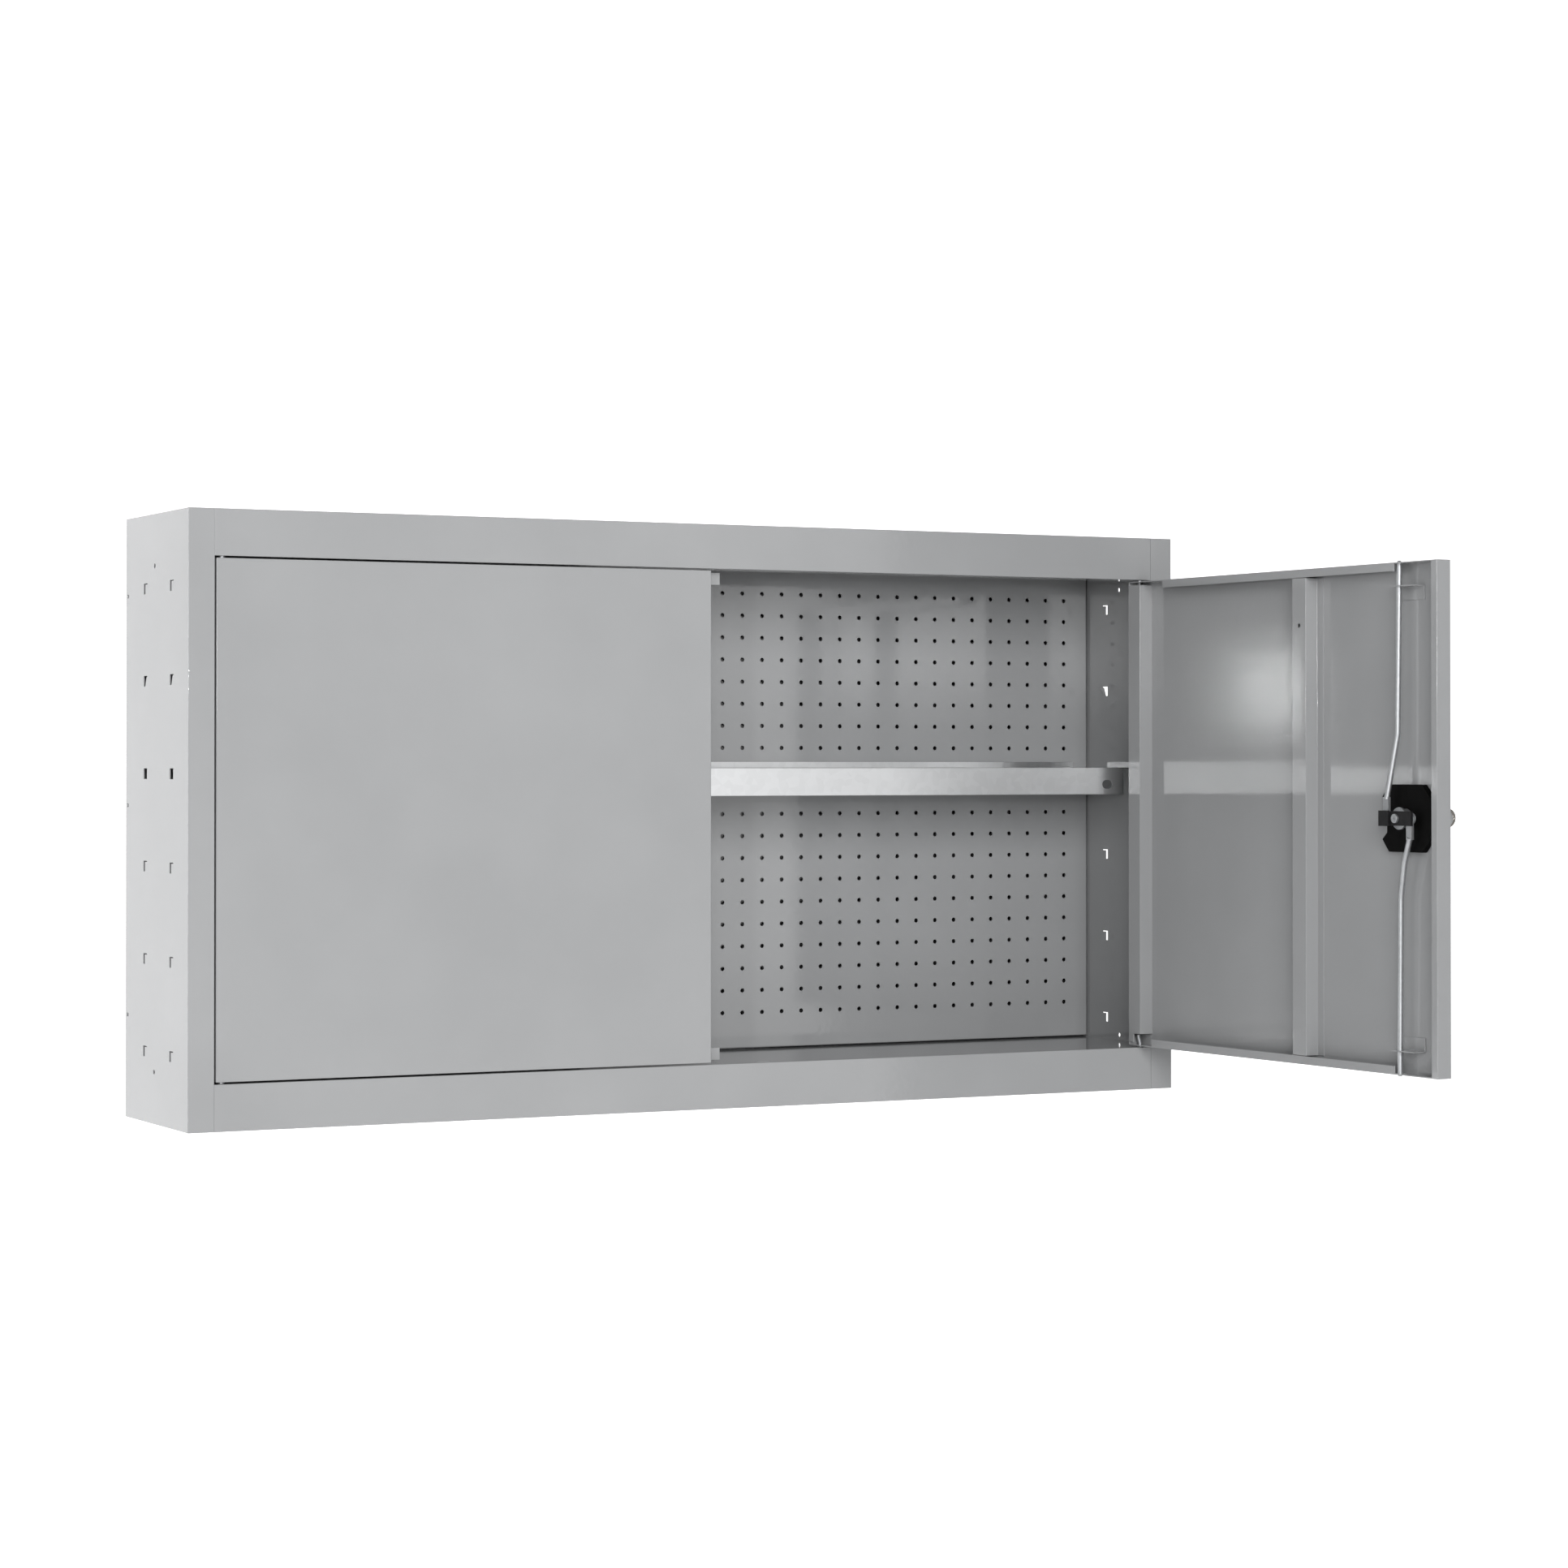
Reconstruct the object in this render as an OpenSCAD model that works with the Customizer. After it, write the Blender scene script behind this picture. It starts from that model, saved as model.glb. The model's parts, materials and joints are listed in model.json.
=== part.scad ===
// Wall-hung steel tool cabinet with two hinged doors, a perforated back panel, one shelf and a rod lock.
// Millimetres. X points right, Y points to the wall, Z points up. The origin is the middle of the
// wall plane. The left door is closed and the right door stands open.

/* [Cabinet] */
// Outside width
cabinet_width = 1170; // [1160:5:1240]
// Outside height
cabinet_height = 630; // [620:5:680]
// Depth from the wall to the door fronts
cabinet_depth = 210; // [200:5:220]
// Thickness of the steel sheet
sheet = 1.2; // [1:0.1:1.5]
// Width of the upright front edge on each side
stile_width = 27.5; // [24:0.5:32]
// Height of the front edge above and below the doors
rail_height = 48; // [44:0.5:52]

/* [Perforated panel] */
// Distance from hole to hole
hole_pitch = 25; // [20:1:25]
// Diameter of each hole
hole_d = 5; // [4:0.5:6]
// Number of hole columns, an odd number
hole_columns = 45; // [37:2:45]
// Number of hole rows
hole_rows = 20; // [16:1:20]
// Distance from the wall to the panel's front
panel_stand_off = 30; // [26:1:40]

/* [Shelf] */
// Height of the shelf's upper face above the middle of the cabinet
shelf_level = 52.5; // [42:0.5:62]
// Depth of the shelf
shelf_depth = 132; // [128:1:140]
// Height of the shelf's front lip
shelf_lip = 31; // [28:1:36]

/* [Doors] */
// Angle of the right door in the modelled pose
right_door_angle = 92.3; // [60:0.1:110]
// Gap between a door and its opening
door_gap = 2; // [1.5:0.1:2.5]
// Thickness of a door over its folded edges
door_depth = 18; // [17:0.5:20]
// Diameter of the hinge pins
pin_d = 5; // [4.5:0.5:6]

/* [Lock] */
// Distance from the right door's free edge to the lock's axis
lock_inset = 63; // [58:1:70]
// Diameter of the locking rods
rod_d = 6; // [4:0.5:6.5]
// Distance from the lock's axis to a rod's joint
cam_throw = 17; // [16.5:0.5:19]

/* [Hidden] */
$fn = 48;

paint = "#8f9193";
paint_side = "#a9abad";
zinc = "#c9cbcc";
black = "#161616";
chrome = "#d9dbdd";

half_w = cabinet_width / 2;
half_h = cabinet_height / 2;
front = -cabinet_depth;
web_in = half_w - sheet;
opening_x = half_w - stile_width;
opening_z = half_h - rail_height;
flange = 20;
// Smallest free space between pieces that move against each other
play = 0.3;
// Radial play of a pin in its bore
fit_play = 0.05;
// Overshoot of a cutter
cut = 1;

// Wall fixing holes
wall_hole_d = 9;
wall_hole_x = 500;
wall_hole_z = half_h - 18;
rear_flange_h = 28;

// Top rail's folded edge behind the doors
rail_return = 35;
back_front = -2 * sheet;
panel_front = -panel_stand_off;
panel_bottom = -opening_z + 1.5;
panel_top = wall_hole_z - 13;
panel_half_w = web_in - 1.8;
first_row = panel_bottom + 40.5;

// Pop rivets in the sides
rivet_d = 4;
rivet_head = 1;
rivet_y = back_front - rivet_d;
rivet_levels = [-207, 13, 233];

// Shelf supports: flaps cut into the sides in six rows and two columns
flap_pitch = 96;
flap_rows = 6;
flap_w = 12;
flap_h = 11;
flap_slit = 1;
flap_side_slit = 5;
flap_ear = 5;
flap_front_y = front + 54;
flap_rear_y = front + 142;
// How far an ear's root reaches into the flap
ear_root = 0.1;
shelf_row = 2;
spare_row = 1;
flap_reach = 10;
flap_top = shelf_level - sheet - play;
top_flap_z = flap_top - flap_h / 2 + flap_slit + flap_pitch * shelf_row;
side_hole_d = 5;
side_hole_z = 261;
side_hole_y = front + 111;

// Shelf
shelf_back_gap = 3;
deck_half = web_in - 2.5;
upstand_half = 560;
upstand_h = 6.5;
lip_half = 549;
lip_return = 10;
lip_slot_x = 527;
lip_slot_drop = 19.3;
lip_slot = 13.6;
lip_slot_h = 10;

// Doors
door_hinge_x = opening_x - door_gap;
door_free_x = 1;
door_z = opening_z - door_gap;
pin_x = door_hinge_x - 8;
pin_y = front + 8;
pin_bore_d = pin_d + 2 * fit_play;
lip_h = 9;
hinge_lip = 23;
hinge_lip_trim = 4;
hinge_notch = 13.5;
hinge_notch_h = 13.5;
lip_start = 70;
lip_end_top = 487;
lip_end_bottom = 509;
stiffener_x = door_free_x + 232;
stiffener_w = 24;
stiffener_foot = 10;
stiffener_z = door_z - lip_h - 0.5;
stiffener_hole_z = 205;
stiffener_hole_d = 5;

// Hinges
pin_head = 2;
pin_head_d = pin_d + 4;
pin_depth = 4.2;
pin_tail = 8;
pin_bend_z = -door_z + 2;
pin_bend = 14;
pin_grip = 10.5;
washer_d = pin_d + 2;
// Each stretch of a bent bar is this much thinner than the one before, so that no faces coincide
bar_step = 0.02;

// Stop tabs on the left door
tab_h = 13;
tab_foot = 19;
tab_reach = 18;
tab_thick = 2;
tab_setback = 1;
tab_z = door_z - 14.5;

// Lock, measured from the door's outer face inwards
lock_x = door_free_x + lock_inset;
rod_x = lock_x + 5;
rod_t = 12;
rod_tip_z = door_z - 1;
rod_flat_z = 20;
rod_flat = 3;
rod_flat_w = 9;
flat_overlap = 2;
// Knees of each rod from its tip to its heel: height, and share of the way from the slots' line to the eye
top_knees = [[rod_tip_z, 0], [87, 0.16], [rod_flat_z, 1]];
bottom_knees = [[rod_tip_z, 0], [82, 0.1], [46, 0.45], [rod_flat_z, 1]];
rod_slot = 16;
rod_slot_w = 8;
// The cabinet's slots are this much longer and wider than the door's
wall_slot_more = 2;
wall_slot_more_w = 1;
guide_z = 241;
guide_t = 17;
guide_near = 29;
guide_far = 9.5;
guide_leg = 15;
plate_t = 8;
plate_half_w = 39.5;
plate_half_h = 35;
plate_chamfer = 13;
plate_skew = 2;
plate_waist = 8;
plate_waist_h = 15;
barrel_d = 20;
nut_d = 23;
nut_h = 3;
spindle_d = 10;
spindle_bore_d = spindle_d + 2 * fit_play;
spindle_top = 14;
cam_t = 18;
cam_thick = 3;
cam_h = 15;
cam_step = 9;
cam_end = 8;
cam_web = 1;
cam_tab_margin = 0.5;
tab_t = cam_t + rod_flat + play;
lower_eye_t = cam_t - rod_flat - play;
pivot_d = 4;
washer_thick = 1.4;
rod_washer_d = 12;
screw_d = 5;
screw_head = 3;
screw_head_d = 9.5;
cross_w = 5;
cross_thick = 1;
cross_depth = 1.5;

// Handle and key
rosette_d = 44;
rosette_h = 4;
hub_d = 34;
handle_face = 28;
grip_half = 24;
grip_w = 16;
grip_t = 12;
cylinder_d = 11;
plug_face = front - handle_face - 1;
key_thick = 2;
key_blade = 8;
key_bow = 20;
key_bow_reach = 18;
key_hole = 5;

// y of a place t behind the closed doors' outer face
function depth(t) = front + t;

// Turns a right door piece from its closed place to the modelled pose
module open_right() {
    translate([pin_x, pin_y, 0])
        rotate([0, 0, right_door_angle])
            translate([-pin_x, -pin_y, 0])
                children();
}

module mirror_x() {
    mirror([1, 0, 0])
        children();
}

// Box between two corners
module box(a, b) {
    translate(a)
        cube(b - a);
}

// Round bar along Y from y0 to y1
module bar_y(x, z, y0, y1, d) {
    translate([x, y0, z])
        rotate([-90, 0, 0])
            cylinder(h = y1 - y0, d = d);
}

// Round bar along Z from z0 to z1
module bar_z(x, y, z0, z1, d) {
    translate([x, y, z0])
        cylinder(h = z1 - z0, d = d);
}

// Slot with round ends, cut along Z, long side along X
module slot_z(x, y, z0, z1, length, width) {
    for (dx = [-1, 1])
        bar_z(x + dx * (length - width) / 2, y, z0, z1, width);
    box([x - (length - width) / 2, y - width / 2, z0], [x + (length - width) / 2, y + width / 2, z1]);
}

// ---- Sides ----

function flap_z(row) = top_flap_z - row * flap_pitch;

// Opening of one flap in a side wall, cut along X. toward is 1 where the free edge points to the wall
module flap_opening(x, y, z, toward, row) {
    y0 = y - flap_w / 2;
    y1 = y + flap_w / 2;
    z0 = z - flap_h / 2;
    z1 = z + flap_h / 2;
    if (row == shelf_row)
        box([x - cut, y0, z0], [x + sheet + cut, y1, z1]);
    else {
        slit_y = toward > 0 ? y1 - flap_side_slit : y0;
        box([x - cut, y0, z1 - flap_slit], [x + sheet + cut, y1, z1]);
        box([x - cut, slit_y, z0], [x + sheet + cut, slit_y + flap_side_slit, z1]);
        if (row == spare_row)
            ear_opening(x, toward > 0 ? slit_y : slit_y + flap_side_slit, z0, z1, toward);
    }
}

// Three-cornered opening of a flap whose upper corner is pushed in
module ear_opening(x, y, z0, z1, toward) {
    slit_y = y + toward * cut;
    translate([x - cut, 0, 0])
        rotate([90, 0, 90])
            linear_extrude(height = sheet + 2 * cut)
                polygon([[y, z0], [slit_y, z0], [slit_y, z1], [y - toward * flap_ear, z1]]);
}

// Ear of a flap: its upper corner, turned inwards about the slanting edge of its opening
module ear(y, z, toward) {
    height = flap_h - flap_slit;
    lean = atan2(flap_ear, flap_h);
    root_y = y + toward * (flap_w / 2 - flap_side_slit - ear_root);
    edge = (height - sheet * sin(lean)) / cos(lean) - ear_root;
    tip = [sheet + height * sin(lean), height * cos(lean)];
    translate([-half_w, root_y, z - flap_h / 2])
        rotate([toward * lean, 0, 0])
            translate([0, toward > 0 ? 0 : sheet, 0])
                rotate([90, 0, 0])
                    linear_extrude(height = sheet)
                        polygon([[0, 0], [sheet, 0], tip, [sheet, edge], [0, edge]]);
}

// A flap bent inwards, standing at right angles to the wall
module bent_flap(y, z, toward, reach) {
    hinge = y - toward * flap_w / 2;
    y0 = toward > 0 ? hinge : hinge - sheet;
    box([-half_w, y0, z - flap_h / 2], [-web_in + reach, y0 + sheet, z + flap_h / 2 - flap_slit]);
}

// Left side; toward tells which way the flaps' free edges point
module side(toward) {
    columns = [flap_front_y, flap_rear_y];
    difference() {
        union() {
            box([-half_w, front, -half_h], [-web_in, 0, half_h]);
            box([-half_w, front, -half_h], [-opening_x, front + sheet, half_h]);
            box([-half_w, -sheet, -half_h], [-half_w + flange, 0, half_h]);
        }
        for (row = [0 : flap_rows - 1], y = columns)
            flap_opening(-half_w, y, flap_z(row), toward, row);
        for (s = [-1, 1])
            translate([-half_w - cut, side_hole_y, s * side_hole_z])
                rotate([0, 90, 0])
                    cylinder(h = sheet + 2 * cut, d = side_hole_d);
    }
    for (y = columns) {
        bent_flap(y, flap_z(shelf_row), toward, flap_reach);
        ear(y, flap_z(spare_row), toward);
    }
}

module left_side() {
    color(paint_side)
        side(1);
}

module right_side() {
    color(paint_side)
        mirror_x()
            side(-1);
}

// Pop rivets that hold each side to the back sheet
module side_rivets() {
    color(paint_side)
        for (side = [-1, 1], z = rivet_levels)
            translate([side * half_w, rivet_y, z])
                rotate([0, side * 90, 0])
                    cylinder(h = rivet_head, d = rivet_d);
}

// ---- Top, bottom and back ----

// Holes of the hinge pins and of one locking rod in a panel between z0 and z1
module pin_and_rod_holes(z0, z1) {
    slot_z(rod_x, depth(rod_t), z0 - cut, z1 + cut,
        rod_slot + wall_slot_more, rod_slot_w + wall_slot_more_w);
    for (s = [-1, 1])
        bar_z(s * pin_x, pin_y, z0 - cut, z1 + cut, pin_bore_d);
}

module wall_holes() {
    for (x = [-wall_hole_x, wall_hole_x], z = [-wall_hole_z, wall_hole_z])
        bar_y(x, z, back_front - cut, cut, wall_hole_d);
}

module top_panel() {
    rear_half = half_w - flange;
    color(paint)
        difference() {
            union() {
                box([-web_in, front + sheet, half_h - sheet], [web_in, -sheet, half_h]);
                box([-opening_x, front, opening_z], [opening_x, front + sheet, half_h]);
                box([-opening_x, front, opening_z], [opening_x, front + rail_return, opening_z + sheet]);
                box([-rear_half, -sheet, half_h - rear_flange_h], [rear_half, 0, half_h]);
            }
            wall_holes();
            pin_and_rod_holes(opening_z, opening_z + sheet);
        }
}

module bottom_panel() {
    rear_half = half_w - flange;
    color(paint)
        difference() {
            union() {
                box([-web_in, front + sheet, -opening_z - sheet], [web_in, -sheet, -opening_z]);
                box([-opening_x, front, -half_h], [opening_x, front + sheet, -opening_z]);
                box([-opening_x, front, -half_h], [opening_x, front + flange, -half_h + sheet]);
                box([-rear_half, -sheet, -half_h], [rear_half, 0, -opening_z]);
            }
            wall_holes();
            pin_and_rod_holes(-opening_z - sheet, -opening_z);
        }
}

// Plain sheet behind the perforated panel
module back_sheet() {
    color(paint)
        difference() {
            box([-web_in, back_front, -opening_z], [web_in, -sheet, half_h - sheet]);
            wall_holes();
        }
}

module hole_grid() {
    for (column = [0 : hole_columns - 1], row = [0 : hole_rows - 1])
        translate([(column - (hole_columns - 1) / 2) * hole_pitch, first_row + row * hole_pitch])
            circle(d = hole_d, $fn = 16);
}

// Perforated panel, a shallow tray with its edges folded back to the back sheet
module perforated_panel() {
    color(paint)
        difference() {
            box([-panel_half_w, panel_front, panel_bottom], [panel_half_w, back_front, panel_top]);
            box([-panel_half_w + sheet, panel_front + sheet, panel_bottom + sheet],
                [panel_half_w - sheet, back_front + cut, panel_top - sheet]);
            translate([0, panel_front + sheet + cut, 0])
                rotate([90, 0, 0])
                    linear_extrude(height = sheet + 2 * cut)
                        hole_grid();
        }
}

// ---- Hinges ----

// Upper hinge pin of the right door, with its head on the top panel's folded edge
module upper_pin() {
    seat = opening_z + sheet;
    bar_z(pin_x, pin_y, door_z - pin_depth, seat + pin_head, pin_d);
    bar_z(pin_x, pin_y, seat, seat + pin_head, pin_head_d);
}

// Lower hinge pin, bent above the door's edge so that it can be pulled up
module lower_pin() {
    bar_z(pin_x, pin_y, -opening_z - sheet - pin_tail, pin_bend_z, pin_d);
    translate([pin_x, pin_y, pin_bend_z]) {
        sphere(d = pin_d);
        rotate([-pin_bend, 0, 0])
            cylinder(h = pin_grip, d = pin_d - bar_step);
    }
}

module left_top_hinge_pin() {
    color(zinc)
        mirror_x()
            upper_pin();
}

module left_bottom_hinge_pin() {
    color(zinc)
        mirror_x()
            lower_pin();
}

module right_top_hinge_pin() {
    color(zinc)
        upper_pin();
}

module right_bottom_hinge_pin() {
    color(zinc)
        open_right()
            lower_pin();
}

// Washers between the doors and the cabinet
module hinge_washers() {
    edge = door_z + play / 2;
    color(zinc)
        for (s = [-1, 1])
            difference() {
                union() {
                    bar_z(s * pin_x, pin_y, edge, opening_z, washer_d);
                    bar_z(s * pin_x, pin_y, -opening_z, -edge, washer_d);
                }
                bar_z(s * pin_x, pin_y, -opening_z - cut, opening_z + cut, pin_bore_d);
            }
}

// ---- Shelf ----

module shelf() {
    back = panel_front - shelf_back_gap;
    nose = back - shelf_depth;
    under = shelf_level - sheet;
    lip_end_z = shelf_level - shelf_lip;
    color(zinc) {
        box([-deck_half, nose, under], [deck_half, back, shelf_level]);
        box([-upstand_half, back - sheet, under], [upstand_half, back, shelf_level + upstand_h]);
        box([-lip_half, nose, lip_end_z], [lip_half, nose + lip_return, lip_end_z + sheet]);
        difference() {
            box([-lip_half, nose, lip_end_z], [lip_half, nose + sheet, shelf_level]);
            for (s = [-1, 1])
                translate([s * lip_slot_x, nose + sheet + cut, shelf_level - lip_slot_drop])
                    rotate([90, 0, 0])
                        slot_z(0, 0, 0, sheet + 2 * cut, lip_slot, lip_slot_h);
        }
    }
}

// ---- Doors, drawn as the right door in its closed place ----

module door_panel() {
    back = depth(door_depth);
    x0 = door_free_x;
    x1 = door_hinge_x;
    difference() {
        union() {
            difference() {
                box([x0, front, -door_z], [x1, back, door_z]);
                box([x0 + sheet, front + sheet, -door_z + sheet], [x1 - sheet, back + cut, door_z - sheet]);
            }
            box([x0, back - sheet, -door_z], [x0 + lip_h, back, door_z]);
            box([x0 + lip_start, back - sheet, door_z - lip_h], [x0 + lip_end_top, back, door_z]);
            box([x0 + lip_start, back - sheet, -door_z], [x0 + lip_end_bottom, back, -door_z + lip_h]);
            hinge_fold(x1, back);
        }
        bar_z(pin_x, pin_y, -door_z - cut, door_z + cut, pin_bore_d);
    }
}

// Fold of the hinge side, closed against the door's skin, with a notch that shows the lower pin
module hinge_fold(x1, back) {
    z0 = -door_z + hinge_lip_trim;
    z1 = door_z - hinge_lip_trim;
    x0 = x1 - hinge_lip;
    difference() {
        union() {
            box([x0, back - sheet, z0], [x1, back, z1]);
            box([x0, front, z0], [x0 + sheet, back, z1]);
        }
        box([x0 - cut, front + sheet, z0 - cut], [x0 + hinge_notch, back + cut, -door_z + hinge_notch_h]);
    }
}

// Top-hat profile that stiffens the door's skin
module door_stiffener() {
    crown = depth(door_depth);
    foot = front + sheet;
    half = stiffener_w / 2;
    spread = half + stiffener_foot;
    difference() {
        union() {
            box([stiffener_x - spread, foot, -stiffener_z],
                [stiffener_x + spread, foot + sheet, stiffener_z]);
            box([stiffener_x - half, foot, -stiffener_z], [stiffener_x + half, crown, stiffener_z]);
        }
        box([stiffener_x - half + sheet, foot - cut, -stiffener_z - cut],
            [stiffener_x + half - sheet, crown - sheet, stiffener_z + cut]);
        bar_y(stiffener_x, stiffener_hole_z, crown - sheet - cut, crown + cut, stiffener_hole_d);
    }
}

module left_door_panel() {
    color(paint)
        mirror_x()
            door_panel();
}

module left_door_stiffener() {
    color(paint)
        mirror_x()
            door_stiffener();
}

// Tabs on the left door that reach behind the right door, so that it holds both shut
module left_door_stop_tabs() {
    seat = depth(door_depth);
    root = -door_free_x - tab_foot;
    color(paint)
        for (s = [0, 1])
            mirror([0, 0, s]) {
                box([root, seat, tab_z], [-door_free_x - tab_setback, seat + play, tab_z + tab_h]);
                box([root, seat + play, tab_z], [tab_reach, seat + play + tab_thick, tab_z + tab_h]);
            }
}

module right_door_panel() {
    color(paint)
        open_right()
            difference() {
                door_panel();
                for (s = [0, 1])
                    mirror([0, 0, s])
                        slot_z(rod_x, depth(rod_t), door_z - sheet - cut, door_z + cut, rod_slot, rod_slot_w);
                bar_y(lock_x, 0, front - cut, front + sheet + cut, barrel_d);
            }
}

module right_door_stiffener() {
    color(paint)
        open_right()
            door_stiffener();
}

// Angle brackets on the right door that keep the rods' ends in line
module rod_guides() {
    x0 = rod_x - guide_near;
    x1 = rod_x + guide_far;
    color(paint)
        open_right()
            for (s = [0, 1])
                mirror([0, 0, s])
                    difference() {
                        union() {
                            box([x0, front + sheet, guide_z - sheet], [x1, depth(guide_t), guide_z]);
                            box([x0, front + sheet, guide_z - guide_leg], [x1, front + 2 * sheet, guide_z]);
                        }
                        slot_z(rod_x, depth(rod_t), guide_z - guide_leg, guide_z + cut, rod_slot, rod_slot_w);
                    }
}

// ---- Lock, drawn in the right door's closed place ----

// Outline of the moulded plate, hinge side towards +X, with a waist on that side
module plate_outline() {
    w = plate_half_w;
    h = plate_half_h;
    c = plate_chamfer;
    waist_x = w - plate_waist;
    polygon([
        [-w + c, -h], [w - c + plate_skew, -h], [w, -h + c], [waist_x, -plate_waist_h],
        [waist_x, plate_waist_h], [w, h - c], [w - c + plate_skew, h], [-w + c, h],
        [-w, h - c], [-w, -h + c]
    ]);
}

module lock_plate() {
    color(black)
        open_right()
            difference() {
                translate([lock_x, depth(plate_t), 0])
                    rotate([90, 0, 0])
                        linear_extrude(height = plate_t - sheet)
                            plate_outline();
                bar_y(lock_x, 0, front, depth(plate_t) + cut, barrel_d + 2 * fit_play);
            }
}

// Threaded barrel that carries the spindle through the door
module lock_barrel() {
    end = depth(cam_t - play);
    color(zinc)
        open_right()
            difference() {
                bar_y(lock_x, 0, front - rosette_h, end, barrel_d - 2 * fit_play);
                bar_y(lock_x, 0, front - rosette_h - cut, end + cut, spindle_bore_d);
            }
}

// Round nut on the barrel's end, under the cam
module lock_nut() {
    seat = depth(cam_t - play - nut_h);
    color(zinc)
        open_right()
            difference() {
                bar_y(lock_x, 0, seat, seat + nut_h, nut_d);
                bar_y(lock_x, 0, seat - cut, seat + nut_h + cut, barrel_d);
            }
}

// Round cover under the handle
module handle_rosette() {
    color(paint)
        open_right()
            difference() {
                bar_y(lock_x, 0, front - rosette_h, front, rosette_d);
                bar_y(lock_x, 0, front - rosette_h - cut, front + cut, barrel_d);
            }
}

// Turning handle: a round hub with a cross grip
module handle() {
    face = front - handle_face;
    color(paint)
        open_right()
            difference() {
                union() {
                    bar_y(lock_x, 0, face, front - rosette_h - play, hub_d);
                    box([lock_x - grip_half, face, -grip_w / 2],
                        [lock_x + grip_half, front - grip_t, grip_w / 2]);
                    for (s = [-1, 1])
                        bar_y(lock_x + s * grip_half, 0, face, front - grip_t, grip_w);
                }
                bar_y(lock_x, 0, face - cut, front - spindle_top, cylinder_d + 2 * fit_play);
                bar_y(lock_x, 0, front - spindle_top - cut, front, spindle_d);
            }
}

// Round spindle from the handle to the cam
module lock_spindle() {
    color(zinc)
        open_right()
            bar_y(lock_x, 0, front - spindle_top, depth(cam_t), spindle_d);
}

// Cam: a flat bar with its hinge-side end stepped inwards over the upper rod's eye
module cam() {
    y0 = depth(cam_t);
    y1 = depth(tab_t);
    half = cam_h / 2;
    tab_half = half + cam_tab_margin;
    step_x = lock_x + cam_step;
    end = lock_x + cam_throw + cam_end;
    color(black)
        open_right()
            difference() {
                union() {
                    box([lock_x - cam_throw - cam_end + cam_web, y0, -half], [step_x, y0 + cam_thick, half]);
                    box([step_x, y0, -half], [step_x + cam_web, y1 + cam_thick, half]);
                    box([step_x + cam_web, y1, -tab_half], [end, y1 + cam_thick, tab_half]);
                }
                bar_y(lock_x, 0, y0 - cut, y0 + cam_thick + cut, screw_d);
            }
}

// Cross-head screw that holds the cam on the spindle
module cam_screw() {
    seat = depth(cam_t + cam_thick);
    color(zinc)
        open_right()
            difference() {
                union() {
                    bar_y(lock_x, 0, depth(cam_t), seat, screw_d);
                    bar_y(lock_x, 0, seat, seat + screw_head, screw_head_d);
                }
                for (turn = [0, 90])
                    translate([lock_x, seat + screw_head, 0])
                        rotate([0, turn, 0])
                            cube([cross_w, 2 * cross_depth, cross_thick], center = true);
            }
}

// Rivets on which the rods turn, each with its head under the rod's eye
module cam_rivets() {
    upper_head = depth(cam_t - play);
    lower_head = depth(lower_eye_t - play - washer_thick);
    color(zinc)
        open_right() {
            bar_y(lock_x + cam_throw, 0, upper_head, depth(tab_t), pivot_d);
            bar_y(lock_x + cam_throw, 0, upper_head - rivet_head, upper_head, 2 * pivot_d);
            bar_y(lock_x - cam_throw, 0, lower_head, depth(cam_t), pivot_d);
            bar_y(lock_x - cam_throw, 0, lower_head - rivet_head, lower_head, 2 * pivot_d);
        }
}

// Washer under the lower rod's eye
module rod_washer() {
    face = depth(lower_eye_t - play);
    color(zinc)
        open_right()
            difference() {
                bar_y(lock_x - cam_throw, 0, face - washer_thick, face, rod_washer_d);
                bar_y(lock_x - cam_throw, 0, face - washer_thick - cut, face + cut, pivot_d);
            }
}

// Round bar from point a up to point b, with a ball at b that closes the knee to the stretch above
module rod_stretch(a, b, d) {
    run = b - a;
    translate(a)
        rotate([0, acos(run[2] / norm(run)), atan2(run[1], run[0])])
            cylinder(h = norm(run), d = d);
    translate(b)
        sphere(d = d + 2 * bar_step);
}

// Rod from an eye at (eye_x, eye_t) on z = 0 up to its tip, bent at its knees
module rod(eye_x, eye_t, shape) {
    flat_y = depth(eye_t);
    flat_end = flat_y + rod_flat;
    flat_half = rod_flat_w / 2;
    way = [eye_x - rod_x, flat_y + rod_flat / 2 - depth(rod_t)];
    knees = [for (k = shape) [rod_x + k[1] * way[0], depth(rod_t) + k[1] * way[1], k[0]]];
    for (i = [1 : len(knees) - 1])
        rod_stretch(knees[i], knees[i - 1], rod_d - bar_step * i);
    difference() {
        union() {
            box([eye_x - flat_half, flat_y, 0], [eye_x + flat_half, flat_end, rod_flat_z + flat_overlap]);
            bar_y(eye_x, 0, flat_y, flat_end, rod_flat_w);
        }
        bar_y(eye_x, 0, flat_y - cut, flat_end + cut, pivot_d + 2 * fit_play);
    }
}

module top_rod() {
    color(zinc)
        open_right()
            rod(lock_x + cam_throw, cam_t, top_knees);
}

module bottom_rod() {
    color(zinc)
        open_right()
            mirror([0, 0, 1])
                rod(lock_x - cam_throw, lower_eye_t, bottom_knees);
}

// Turning core of the key cylinder
module cylinder_plug() {
    color(chrome)
        open_right()
            bar_y(lock_x, 0, plug_face, front - spindle_top - play, cylinder_d);
}

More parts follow.
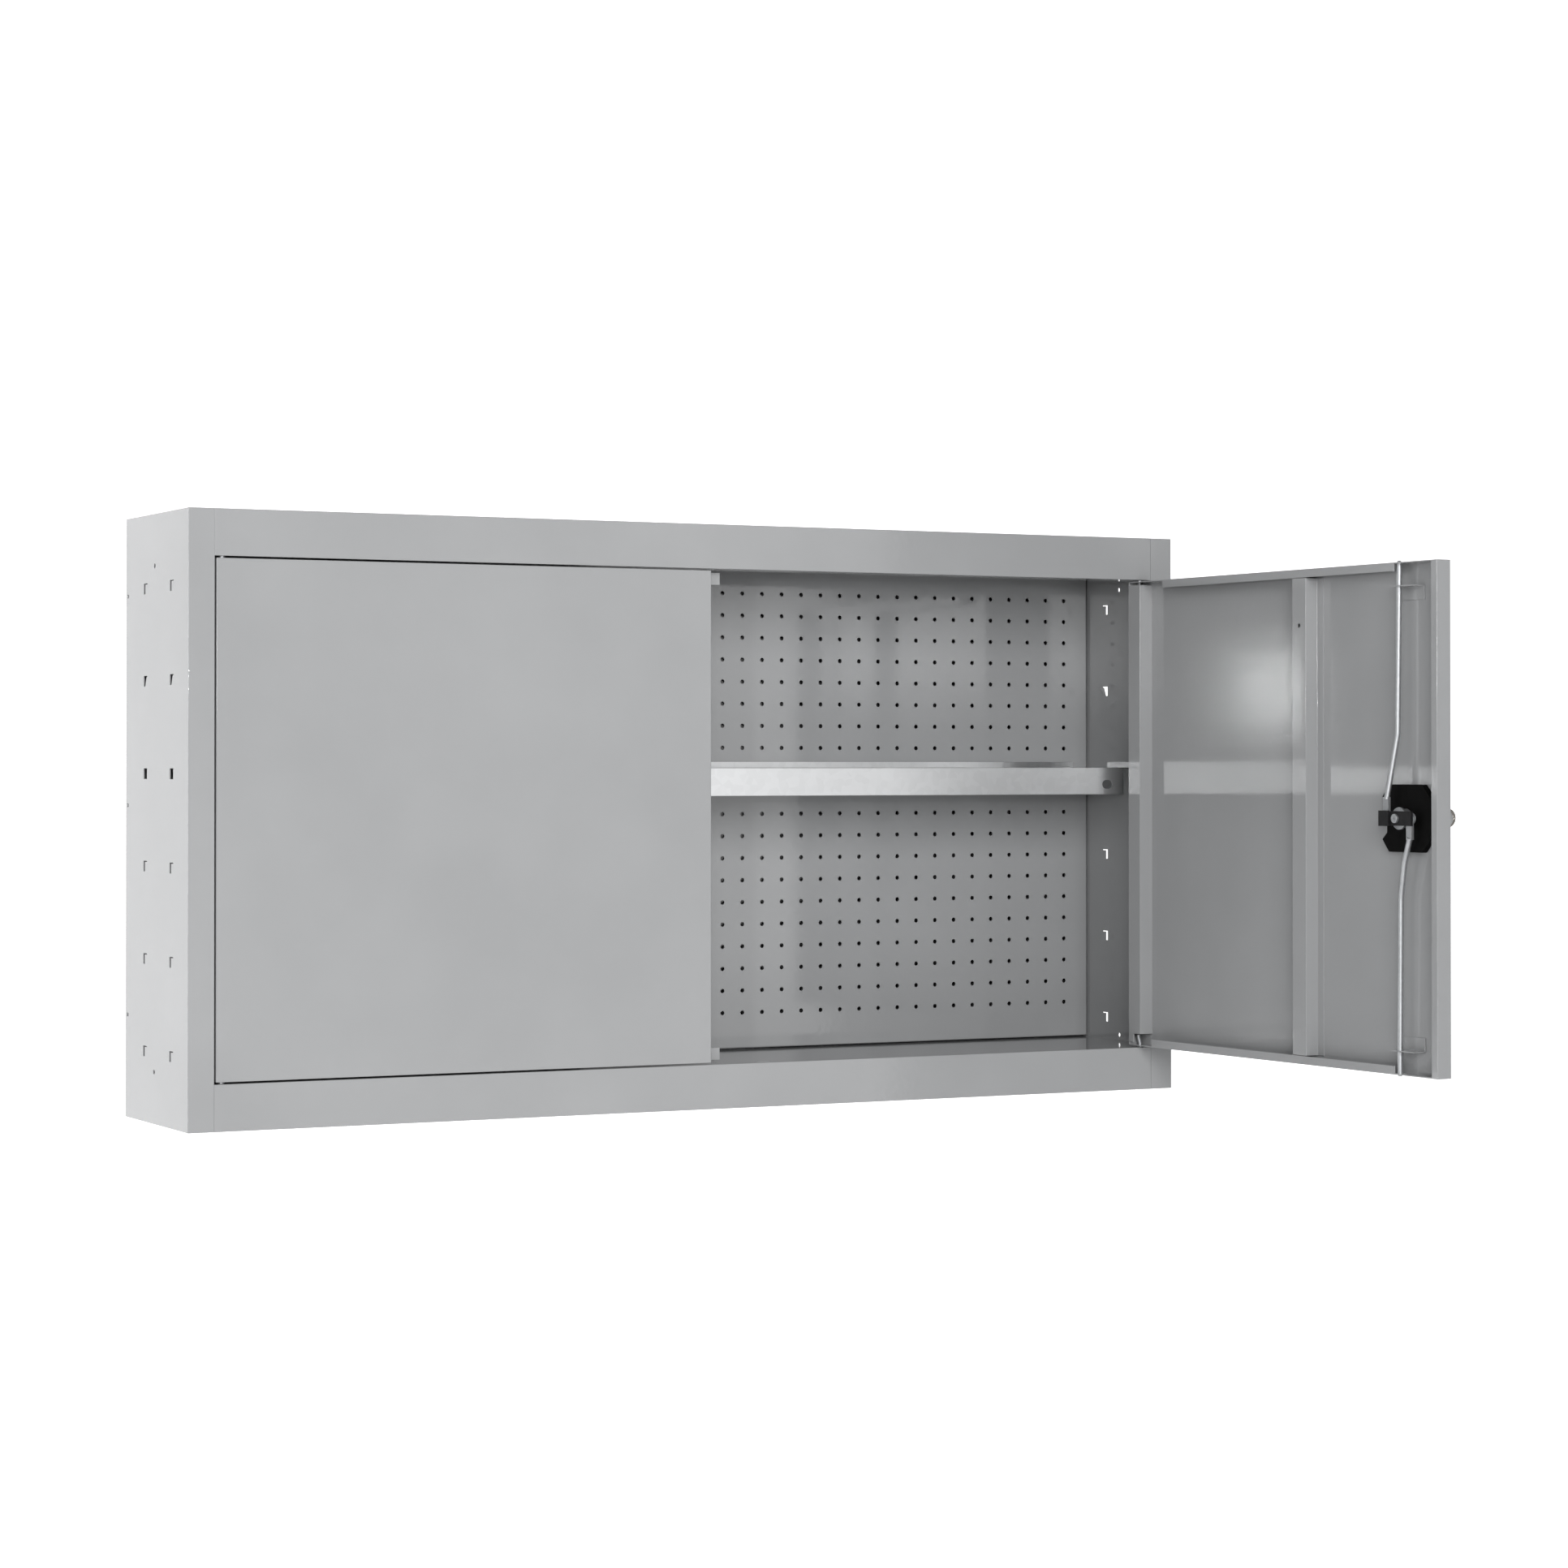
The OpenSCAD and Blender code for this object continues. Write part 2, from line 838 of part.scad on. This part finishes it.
module key() {
    bow_y = plug_face - key_bow_reach;
    side = lock_x - key_thick / 2;
    color(chrome)
        open_right()
            difference() {
                union() {
                    box([side, bow_y, -key_blade / 2], [side + key_thick, plug_face, key_blade / 2]);
                    translate([side, bow_y, 0])
                        rotate([0, 90, 0])
                            cylinder(h = key_thick, d = key_bow);
                }
                translate([side - cut, bow_y - key_bow / 4, 0])
                    rotate([0, 90, 0])
                        cylinder(h = key_thick + 2 * cut, d = key_hole);
            }
}

left_side();
right_side();
top_panel();
bottom_panel();
back_sheet();
perforated_panel();
side_rivets();
left_top_hinge_pin();
left_bottom_hinge_pin();
right_top_hinge_pin();
right_bottom_hinge_pin();
hinge_washers();
shelf();
left_door_panel();
left_door_stiffener();
left_door_stop_tabs();
right_door_panel();
right_door_stiffener();
rod_guides();
lock_plate();
lock_barrel();
lock_nut();
handle_rosette();
handle();
lock_spindle();
cam();
cam_screw();
cam_rivets();
rod_washer();
top_rod();
bottom_rod();
cylinder_plug();
key();
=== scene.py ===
"""Looks of a wall-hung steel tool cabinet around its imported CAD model.

Metres, +X right, +Y to the wall, +Z up.
"""
import json
import math

import bmesh
import bpy
import numpy as np
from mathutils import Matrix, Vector


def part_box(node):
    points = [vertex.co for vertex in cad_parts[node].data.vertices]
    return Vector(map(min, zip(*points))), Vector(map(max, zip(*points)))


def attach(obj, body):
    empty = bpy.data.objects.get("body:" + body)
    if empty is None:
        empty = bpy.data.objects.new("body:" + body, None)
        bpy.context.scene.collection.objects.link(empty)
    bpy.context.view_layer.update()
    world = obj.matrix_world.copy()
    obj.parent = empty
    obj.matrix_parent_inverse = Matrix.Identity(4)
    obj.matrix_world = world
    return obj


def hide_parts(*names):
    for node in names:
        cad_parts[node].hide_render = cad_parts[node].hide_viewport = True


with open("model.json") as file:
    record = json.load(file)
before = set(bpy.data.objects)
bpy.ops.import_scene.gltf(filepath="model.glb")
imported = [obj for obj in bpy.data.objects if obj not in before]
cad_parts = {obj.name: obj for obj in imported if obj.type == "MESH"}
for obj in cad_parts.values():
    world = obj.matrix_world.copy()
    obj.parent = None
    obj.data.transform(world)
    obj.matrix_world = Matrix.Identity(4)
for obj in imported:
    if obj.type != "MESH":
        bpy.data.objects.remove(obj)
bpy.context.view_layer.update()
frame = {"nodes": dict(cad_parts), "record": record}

MM = 0.001
# Sheet metal in mm: its gauge, the outer and the inner radius of its bends, the rounding of its deburred rims
GAUGE = 1.2
BEND = 2.0
HOLLOW = 0.8
DEBURRED = 0.3
BEND_SEGMENTS = 4
# An edge is drawn hard where its faces turn by more than this many degrees
SHEET_ANGLE = 35
PANEL_ANGLE = 40
TURNED_ANGLE = 25


def linear(colour):
    """sRGB hex to linear RGBA.

    A share c up to 0.04045 is divided by 12.92, and a larger one becomes ((c + 0.055) / 1.055) to the power 2.4.
    """
    shares = [int(colour[i:i + 2], 16) / 255 for i in (1, 3, 5)]
    return tuple(c / 12.92 if c <= 0.04045 else ((c + 0.055) / 1.055) ** 2.4 for c in shares) + (1.0,)


# ---- Camera and room ----

def make_camera():
    """The photograph's view: a long lens, level, from the left of the cabinet."""
    data = bpy.data.cameras.new("camera")
    data.sensor_width = 36.0
    data.lens = 86.84
    data.shift_x = -0.0219
    data.shift_y = -0.0347
    data.clip_end = 60.0
    camera = bpy.data.objects.new("camera", data)
    camera.location = (-1.77288, -3.87876, 0.05343)
    camera.rotation_euler = [math.radians(a) for a in (90.5642, 0.0118, -27.4007)]
    bpy.context.collection.objects.link(camera)
    bpy.context.scene.camera = camera


def make_light(name, place, target, size, power):
    """A square soft box at place that faces target."""
    data = bpy.data.lights.new(name, "AREA")
    data.shape = "SQUARE"
    data.size = size
    data.energy = power
    light = bpy.data.objects.new(name, data)
    light.location = place
    light.rotation_euler = (Vector(target) - Vector(place)).to_track_quat("-Z", "Y").to_euler()
    bpy.context.collection.objects.link(light)


def make_room():
    """A dim white room, a pale floor that sweeps up into a lit backdrop behind the cabinet, and soft boxes."""
    scene = bpy.context.scene
    scene.view_settings.view_transform = "Standard"
    world = bpy.data.worlds.new("white room")
    world.use_nodes = True
    sky = world.node_tree.nodes["Background"]
    sky.inputs["Color"].default_value = (1, 1, 1, 1)
    sky.inputs["Strength"].default_value = 0.25
    scene.world = world
    # The sweep's outline as (y, z): a quarter circle joins the floor and the backdrop
    half_width, level, radius, turn, front, top = 14.0, -1.1, 3.0, 5.0, -14.0, 14.0
    steps = 16
    outline = [(front, level)]
    for angle in np.linspace(0, math.pi / 2, steps + 1):
        outline.append((turn + radius * math.sin(angle), level + radius - radius * math.cos(angle)))
    outline.append((turn + radius, top))
    points = [(x, y, z) for y, z in outline for x in (-half_width, half_width)]
    faces = [(i, i + 1, i + 3, i + 2) for i in range(0, 2 * len(outline) - 2, 2)]
    mesh = bpy.data.meshes.new("floor")
    mesh.from_pydata(points, [], faces)
    floor = bpy.data.objects.new("floor", mesh)
    bpy.context.collection.objects.link(floor)
    floor.data.materials.append(pale_floor())
    make_light("key", (-3.4, -2.6, 1.7), (0, 0, 0), 2.0, 12)
    make_light("fill", (-1.15, -4.3, 1.2), (0, 0, 0), 2.0, 158)
    make_light("side", (-3.0, 1.2, 0.0), (-0.6, -0.1, 0), 1.2, 55)
    # Wide card that the shelf's lip mirrors to the camera
    make_light("card", (1.4, -5.2, 0.1), (0, 0, 0), 2.8, 37)
    # Compact lamp that the perforated panel and then the open door mirror to the camera
    make_light("lamp", (-2.95, -3.95, 0.25), (0.2, 0, 0.1), 0.19, 28)


# ---- Materials ----

def add(tree, kind, links=None, **settings):
    """Adds a node.

    settings set its properties. links set its sockets, each from another node's output or to a value.
    """
    node = tree.nodes.new(kind)
    for key, value in settings.items():
        setattr(node, key, value)
    for socket, value in (links or {}).items():
        if isinstance(value, bpy.types.NodeSocket):
            tree.links.new(value, node.inputs[socket])
        else:
            node.inputs[socket].default_value = value
    return node


def start(name):
    """A material with only a Principled shader and its output; returns the material, its tree and the shader."""
    material = bpy.data.materials.new(name)
    material.use_nodes = True
    tree = material.node_tree
    return material, tree, tree.nodes["Principled BSDF"]


def bumps(tree, shader, height, distance):
    """Sets the shader's normal from a height of 0 to 1 that stands for distance metres."""
    bump = add(tree, "ShaderNodeBump", {"Height": height, "Distance": distance, "Strength": 1.0})
    tree.links.new(bump.outputs["Normal"], shader.inputs["Normal"])


def object_place(tree):
    """Object coordinates in metres."""
    return add(tree, "ShaderNodeTexCoord").outputs["Object"]


def object_noise(tree, wavelength, detail=2.0):
    """Noise on Object coordinates whose lumps are about wavelength metres apart."""
    sockets = {"Vector": object_place(tree), "Scale": 1 / wavelength, "Detail": detail, "Roughness": 0.5}
    return add(tree, "ShaderNodeTexNoise", sockets).outputs["Fac"]


def tint(tree, factor, dark, light):
    """Colour between two sRGB hex values by a factor whose useful part is 0.3 to 0.7."""
    ramp = add(tree, "ShaderNodeValToRGB", {"Fac": factor})
    for stop, position, colour in zip(ramp.color_ramp.elements, (0.3, 0.7), (dark, light)):
        stop.position = position
        stop.color = linear(colour)
    return ramp.outputs["Color"]


def powder_coat():
    """Grey polyester powder coat on sheet steel, baked: a glossy skin with a fine orange peel."""
    material, tree, shader = start("grey powder coat")
    shader.inputs["Roughness"].default_value = 0.07
    shader.inputs["IOR"].default_value = 1.5
    tree.links.new(tint(tree, object_noise(tree, 0.16), "#868788", "#8b8c8d"), shader.inputs["Base Color"])
    # Orange peel is about 1.5 mm from lump to lump; 4 mm is the finest that shows in the picture
    bumps(tree, shader, object_noise(tree, 4 * MM, 1.0), 0.03 * MM)
    return material


def galvanised():
    """Hot-dip galvanised sheet: satin zinc with faint crystals of about 8 mm."""
    material, tree, shader = start("galvanised sheet")
    shader.inputs["Metallic"].default_value = 1.0
    sockets = {"Vector": object_place(tree), "Scale": 1 / (8 * MM)}
    crystals = add(tree, "ShaderNodeTexVoronoi", sockets).outputs["Color"]
    tree.links.new(tint(tree, crystals, "#cccdce", "#d0d1d2"), shader.inputs["Base Color"])
    shader.inputs["Roughness"].default_value = 0.34
    bumps(tree, shader, object_noise(tree, 6 * MM), 0.01 * MM)
    return material


def zinc_plate():
    """Bright electroplated zinc on drawn wire and turned steel, with faint drawing marks of about 1 mm."""
    material, tree, shader = start("zinc-plated steel")
    shader.inputs["Metallic"].default_value = 1.0
    tree.links.new(tint(tree, object_noise(tree, 5 * MM), "#a6a8aa", "#b0b2b4"), shader.inputs["Base Color"])
    shader.inputs["Roughness"].default_value = 0.5
    bumps(tree, shader, object_noise(tree, 1 * MM), 0.02 * MM)
    return material


def black_nylon():
    """Black moulded nylon, with the fine grain of a spark-eroded mould drawn at 1.5 mm so that it shows."""
    material, tree, shader = start("moulded black nylon")
    shader.inputs["Specular IOR Level"].default_value = 0.06
    shader.inputs["Roughness"].default_value = 0.6
    tree.links.new(tint(tree, object_noise(tree, 12 * MM), "#040404", "#080808"), shader.inputs["Base Color"])
    bumps(tree, shader, object_noise(tree, 1.5 * MM), 0.05 * MM)
    return material


def black_lacquer():
    """Black lacquer on a punched steel cam, semi-matt, a little uneven."""
    material, tree, shader = start("black lacquered steel")
    shader.inputs["Specular IOR Level"].default_value = 0.2
    shader.inputs["Roughness"].default_value = 0.42
    tree.links.new(tint(tree, object_noise(tree, 6 * MM), "#131314", "#1a1a1b"), shader.inputs["Base Color"])
    bumps(tree, shader, object_noise(tree, 2 * MM), 0.04 * MM)
    return material


def nickel():
    """Nickel plate on brass, polished, on the key and the cylinder."""
    material, tree, shader = start("nickel plate")
    shader.inputs["Metallic"].default_value = 1.0
    shader.inputs["Roughness"].default_value = 0.2
    tree.links.new(tint(tree, object_noise(tree, 9 * MM), "#c8c4bd", "#d3cfc8"), shader.inputs["Base Color"])
    bumps(tree, shader, object_noise(tree, 0.8 * MM), 0.01 * MM)
    return material


def pale_floor():
    """Matt white studio paint, lit up behind the cabinet: from nothing at y = -1 m to full at 1.5 m."""
    material, tree, shader = start("white studio paint")
    shader.inputs["Roughness"].default_value = 0.9
    tree.links.new(tint(tree, object_noise(tree, 0.8), "#f0f0f0", "#f4f4f4"), shader.inputs["Base Color"])
    place = add(tree, "ShaderNodeSeparateXYZ", {"Vector": object_place(tree)})
    sockets = {"Value": place.outputs["Y"], "From Min": -1.0, "From Max": 1.5, "To Min": 0.0, "To Max": 0.9}
    glow = add(tree, "ShaderNodeMapRange", sockets)
    shader.inputs["Emission Color"].default_value = (1, 1, 1, 1)
    tree.links.new(glow.outputs["Result"], shader.inputs["Emission Strength"])
    return material


# ---- Sheet metal ----

def merged(node):
    """The node's shape as one closed mesh: its loose corners are joined and flat neighbours dissolved."""
    work = bmesh.new()
    work.from_mesh(frame["nodes"][node].data)
    bmesh.ops.remove_doubles(work, verts=work.verts, dist=0.002 * MM)
    bmesh.ops.dissolve_limit(work, angle_limit=math.radians(1), verts=work.verts, edges=work.edges)
    work.normal_update()
    return work


def is_bend(edge, convex):
    """True for a fold of the sheet: a right-angled edge over 8 mm long between two faces over 2.5 mm wide."""
    shortest, narrowest, slack = 8 * MM, 2.5 * MM, 0.1
    if len(edge.link_faces) != 2 or edge.calc_length() < shortest or edge.is_convex != convex:
        return False
    if abs(edge.calc_face_angle() - math.pi / 2) > slack:
        return False
    a, b = edge.verts
    along = (b.co - a.co).normalized()
    for face in edge.link_faces:
        offsets = [v.co - a.co for v in face.verts]
        if max((d - along * d.dot(along)).length for d in offsets) < narrowest:
            return False
    return True


def add_piece(node, ending, work):
    """Makes a piece from work that stands for node, with its body, slot and material."""
    mesh = bpy.data.meshes.new(node + ending)
    work.to_mesh(mesh)
    work.free()
    piece = bpy.data.objects.new(node + ending, mesh)
    bpy.context.collection.objects.link(piece)
    mesh.materials.append(SLOT_MATERIAL[slot_of[node]])
    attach(piece, body_of[node])
    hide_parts(node)
    return piece


def folded(node):
    """The node's sheet metal with its folds and its rims rounded."""
    work = merged(node)
    for radius, convex in ((BEND, True), (HOLLOW, False)):
        bends = [e for e in work.edges if is_bend(e, convex)]
        if bends:
            bmesh.ops.bevel(work, geom=bends, offset=radius * MM, offset_type="OFFSET", segments=BEND_SEGMENTS,
                            profile=0.5, affect="EDGES", clamp_overlap=True)
    piece = add_piece(node, "_sheet", work)
    finish_normals(piece, SHEET_ANGLE)
    broken_edges(piece, DEBURRED, SHEET_ANGLE)
    weigh_normals(piece)


def finish_normals(piece, angle):
    """Smooth shading with hard lines along edges sharper than angle degrees."""
    work = bmesh.new()
    work.from_mesh(piece.data)
    for face in work.faces:
        face.smooth = True
    for edge in work.edges:
        edge.smooth = len(edge.link_faces) == 2 and edge.calc_face_angle() < math.radians(angle)
    work.to_mesh(piece.data)
    work.free()


def broken_edges(piece, width, angle):
    """Rounds every edge sharper than angle degrees by width millimetres."""
    bevel = piece.modifiers.new("broken edges", "BEVEL")
    bevel.width = width * MM
    bevel.segments = 2
    bevel.limit_method = "ANGLE"
    bevel.angle_limit = math.radians(angle)


def weigh_normals(piece):
    """Lets the large flat faces set the normals, so that they stay flat beside their rounded edges."""
    weighted = piece.modifiers.new("flat faces", "WEIGHTED_NORMAL")
    weighted.weight = 50
    weighted.keep_sharp = True


def softened(node, width):
    """The node's turned or punched shape with its edges broken by width millimetres and its curves smooth."""
    piece = add_piece(node, "_part", merged(node))
    finish_normals(piece, TURNED_ANGLE)
    broken_edges(piece, width, TURNED_ANGLE)
    piece.modifiers["broken edges"].harden_normals = True


def perforated(node):
    """The perforated panel: a tray 27.6 mm deep whose front carries 45 by 20 holes of 5 mm, 25 mm apart.

    Every hole has a square cell. Sixteen points round the cell's outline are joined to sixteen on the hole's
    circle at the same angles. The rim is a profile of (inset, y) pairs, carried round the panel's rectangle.
    """
    low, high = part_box(node)
    gauge, radius, pitch, first_cell = GAUGE * MM, 2.5 * MM, 25 * MM, 28 * MM
    front, back = low[1], low[1] + gauge
    columns, rows, part = 45, 20, 4
    grid_x = (np.arange(columns * part + 1) / part - columns / 2) * pitch
    grid_z = low[2] + first_cell + np.arange(rows * part + 1) / part * pitch
    used = (np.arange(grid_x.size)[:, None] % part == 0) | (np.arange(grid_z.size)[None, :] % part == 0)
    number = np.full(used.shape, -1)
    number[used] = np.arange(used.sum())
    flat = np.stack(np.meshgrid(grid_x, grid_z, indexing="ij"), axis=-1)[used]

    # The sixteen steps round a cell, from its lower left corner
    up = np.arange(part)
    low_end, far_end = np.zeros(part, int), np.full(part, part)
    ring = np.column_stack([np.concatenate([up, far_end, part - up, low_end]),
                            np.concatenate([low_end, up, far_end, part - up])])
    cell = np.stack(np.meshgrid(np.arange(columns), np.arange(rows), indexing="ij"), axis=-1)
    cell = cell.reshape(-1, 1, 2) * part
    square = number[cell[..., 0] + ring[:, 0], cell[..., 1] + ring[:, 1]]
    outward = ring - part / 2
    circle = outward / np.linalg.norm(outward, axis=1, keepdims=True) * radius
    middle = np.stack([grid_x[cell[..., 0] + part // 2], grid_z[cell[..., 1] + part // 2]], axis=-1)
    holes = (middle + circle).reshape(-1, 2)
    count, turn = len(ring), np.roll(np.arange(len(ring)), -1)
    rim = len(flat) + np.arange(len(holes)).reshape(-1, count)
    layer = len(flat) + len(holes)

    def at(points, y):
        return np.column_stack([points[:, 0], np.full(len(points), y), points[:, 1]])

    points = [at(flat, front), at(holes, front), at(flat, back), at(holes, back)]
    faces = np.concatenate([
        np.stack([square, square[:, turn], rim[:, turn], rim], axis=-1).reshape(-1, 4),
        np.stack([square, rim, rim[:, turn], square[:, turn]], axis=-1).reshape(-1, 4) + layer,
        np.stack([rim, rim[:, turn], rim[:, turn] + layer, rim + layer], axis=-1).reshape(-1, 4)]).tolist()

    bend, hollow = BEND * MM, HOLLOW * MM
    arc = np.linspace(0, math.pi / 2, BEND_SEGMENTS + 1)
    outer = np.column_stack([bend - bend * np.sin(arc), front + bend - bend * np.cos(arc)])
    inner = np.column_stack([bend - hollow * np.cos(arc), front + bend - hollow * np.sin(arc)])
    profile = np.concatenate([outer, [[0, high[1]], [gauge, high[1]]], inner])
    first = 2 * layer
    for inset, y in profile:
        corners = np.array([[low[0] + inset, low[2] + inset], [high[0] - inset, low[2] + inset],
                            [high[0] - inset, high[2] - inset], [low[0] + inset, high[2] - inset]])
        points.append(at(corners, y))
    for i in range(len(profile) - 1):
        a = first + 4 * i
        faces += [[a + (k + 1) % 4, a + k, a + k + 4, a + (k + 1) % 4 + 4] for k in range(4)]
    last = first + 4 * (len(profile) - 1)
    sides = [number[:, 0], number[-1, :], number[::-1, -1], number[0, ::-1]]
    for k, side in enumerate(sides):
        faces.append([first + k, first + (k + 1) % 4] + side[::-1].tolist())
        faces.append([last + (k + 1) % 4, last + k] + (side + layer).tolist())

    draft = bpy.data.meshes.new("draft")
    draft.from_pydata(np.concatenate(points).tolist(), [], faces)
    work = bmesh.new()
    work.from_mesh(draft)
    bpy.data.meshes.remove(draft)
    piece = add_piece(node, "_sheet", work)
    finish_normals(piece, PANEL_ANGLE)
    weigh_normals(piece)


# ---- The cabinet ----

make_camera()
make_room()

SLOT_MATERIAL = {"grey_paint": powder_coat(), "galvanised_sheet": galvanised(), "zinc": zinc_plate(),
                 "black_plastic": black_nylon(), "black_paint": black_lacquer(), "bright_metal": nickel()}

slot_of = {part["node"]: part["material_slot"] for part in frame["record"]["subparts"]}
body_of = {node: body for body, nodes in frame["record"]["behaviour"]["bodies"].items() for node in nodes}

SHEET = ("left_side", "right_side", "top_panel", "bottom_panel", "back_sheet", "shelf",
         "left_door_panel", "right_door_panel", "left_door_stiffener", "right_door_stiffener", "rod_guides",
         "left_door_stop_tabs")
for name in SHEET:
    folded(name)

perforated("perforated_panel")

# How far the edges of each turned or punched part are broken, in mm
BROKEN_EDGE = {"lock_plate": 0.8, "lock_barrel": 0.4, "lock_nut": 0.4, "handle_rosette": 1.2, "handle": 1.6,
               "cam": 0.5, "cam_screw": 0.4, "cam_rivets": 0.3, "rod_washer": 0.3, "top_rod": 0.4,
               "bottom_rod": 0.4, "cylinder_plug": 0.4, "key": 0.4, "side_rivets": 0.4,
               "left_top_hinge_pin": 0.5, "left_bottom_hinge_pin": 0.3, "right_top_hinge_pin": 0.5,
               "right_bottom_hinge_pin": 0.3, "hinge_washers": 0.3, "lock_spindle": 0.3}
for name, width in BROKEN_EDGE.items():
    softened(name, width)
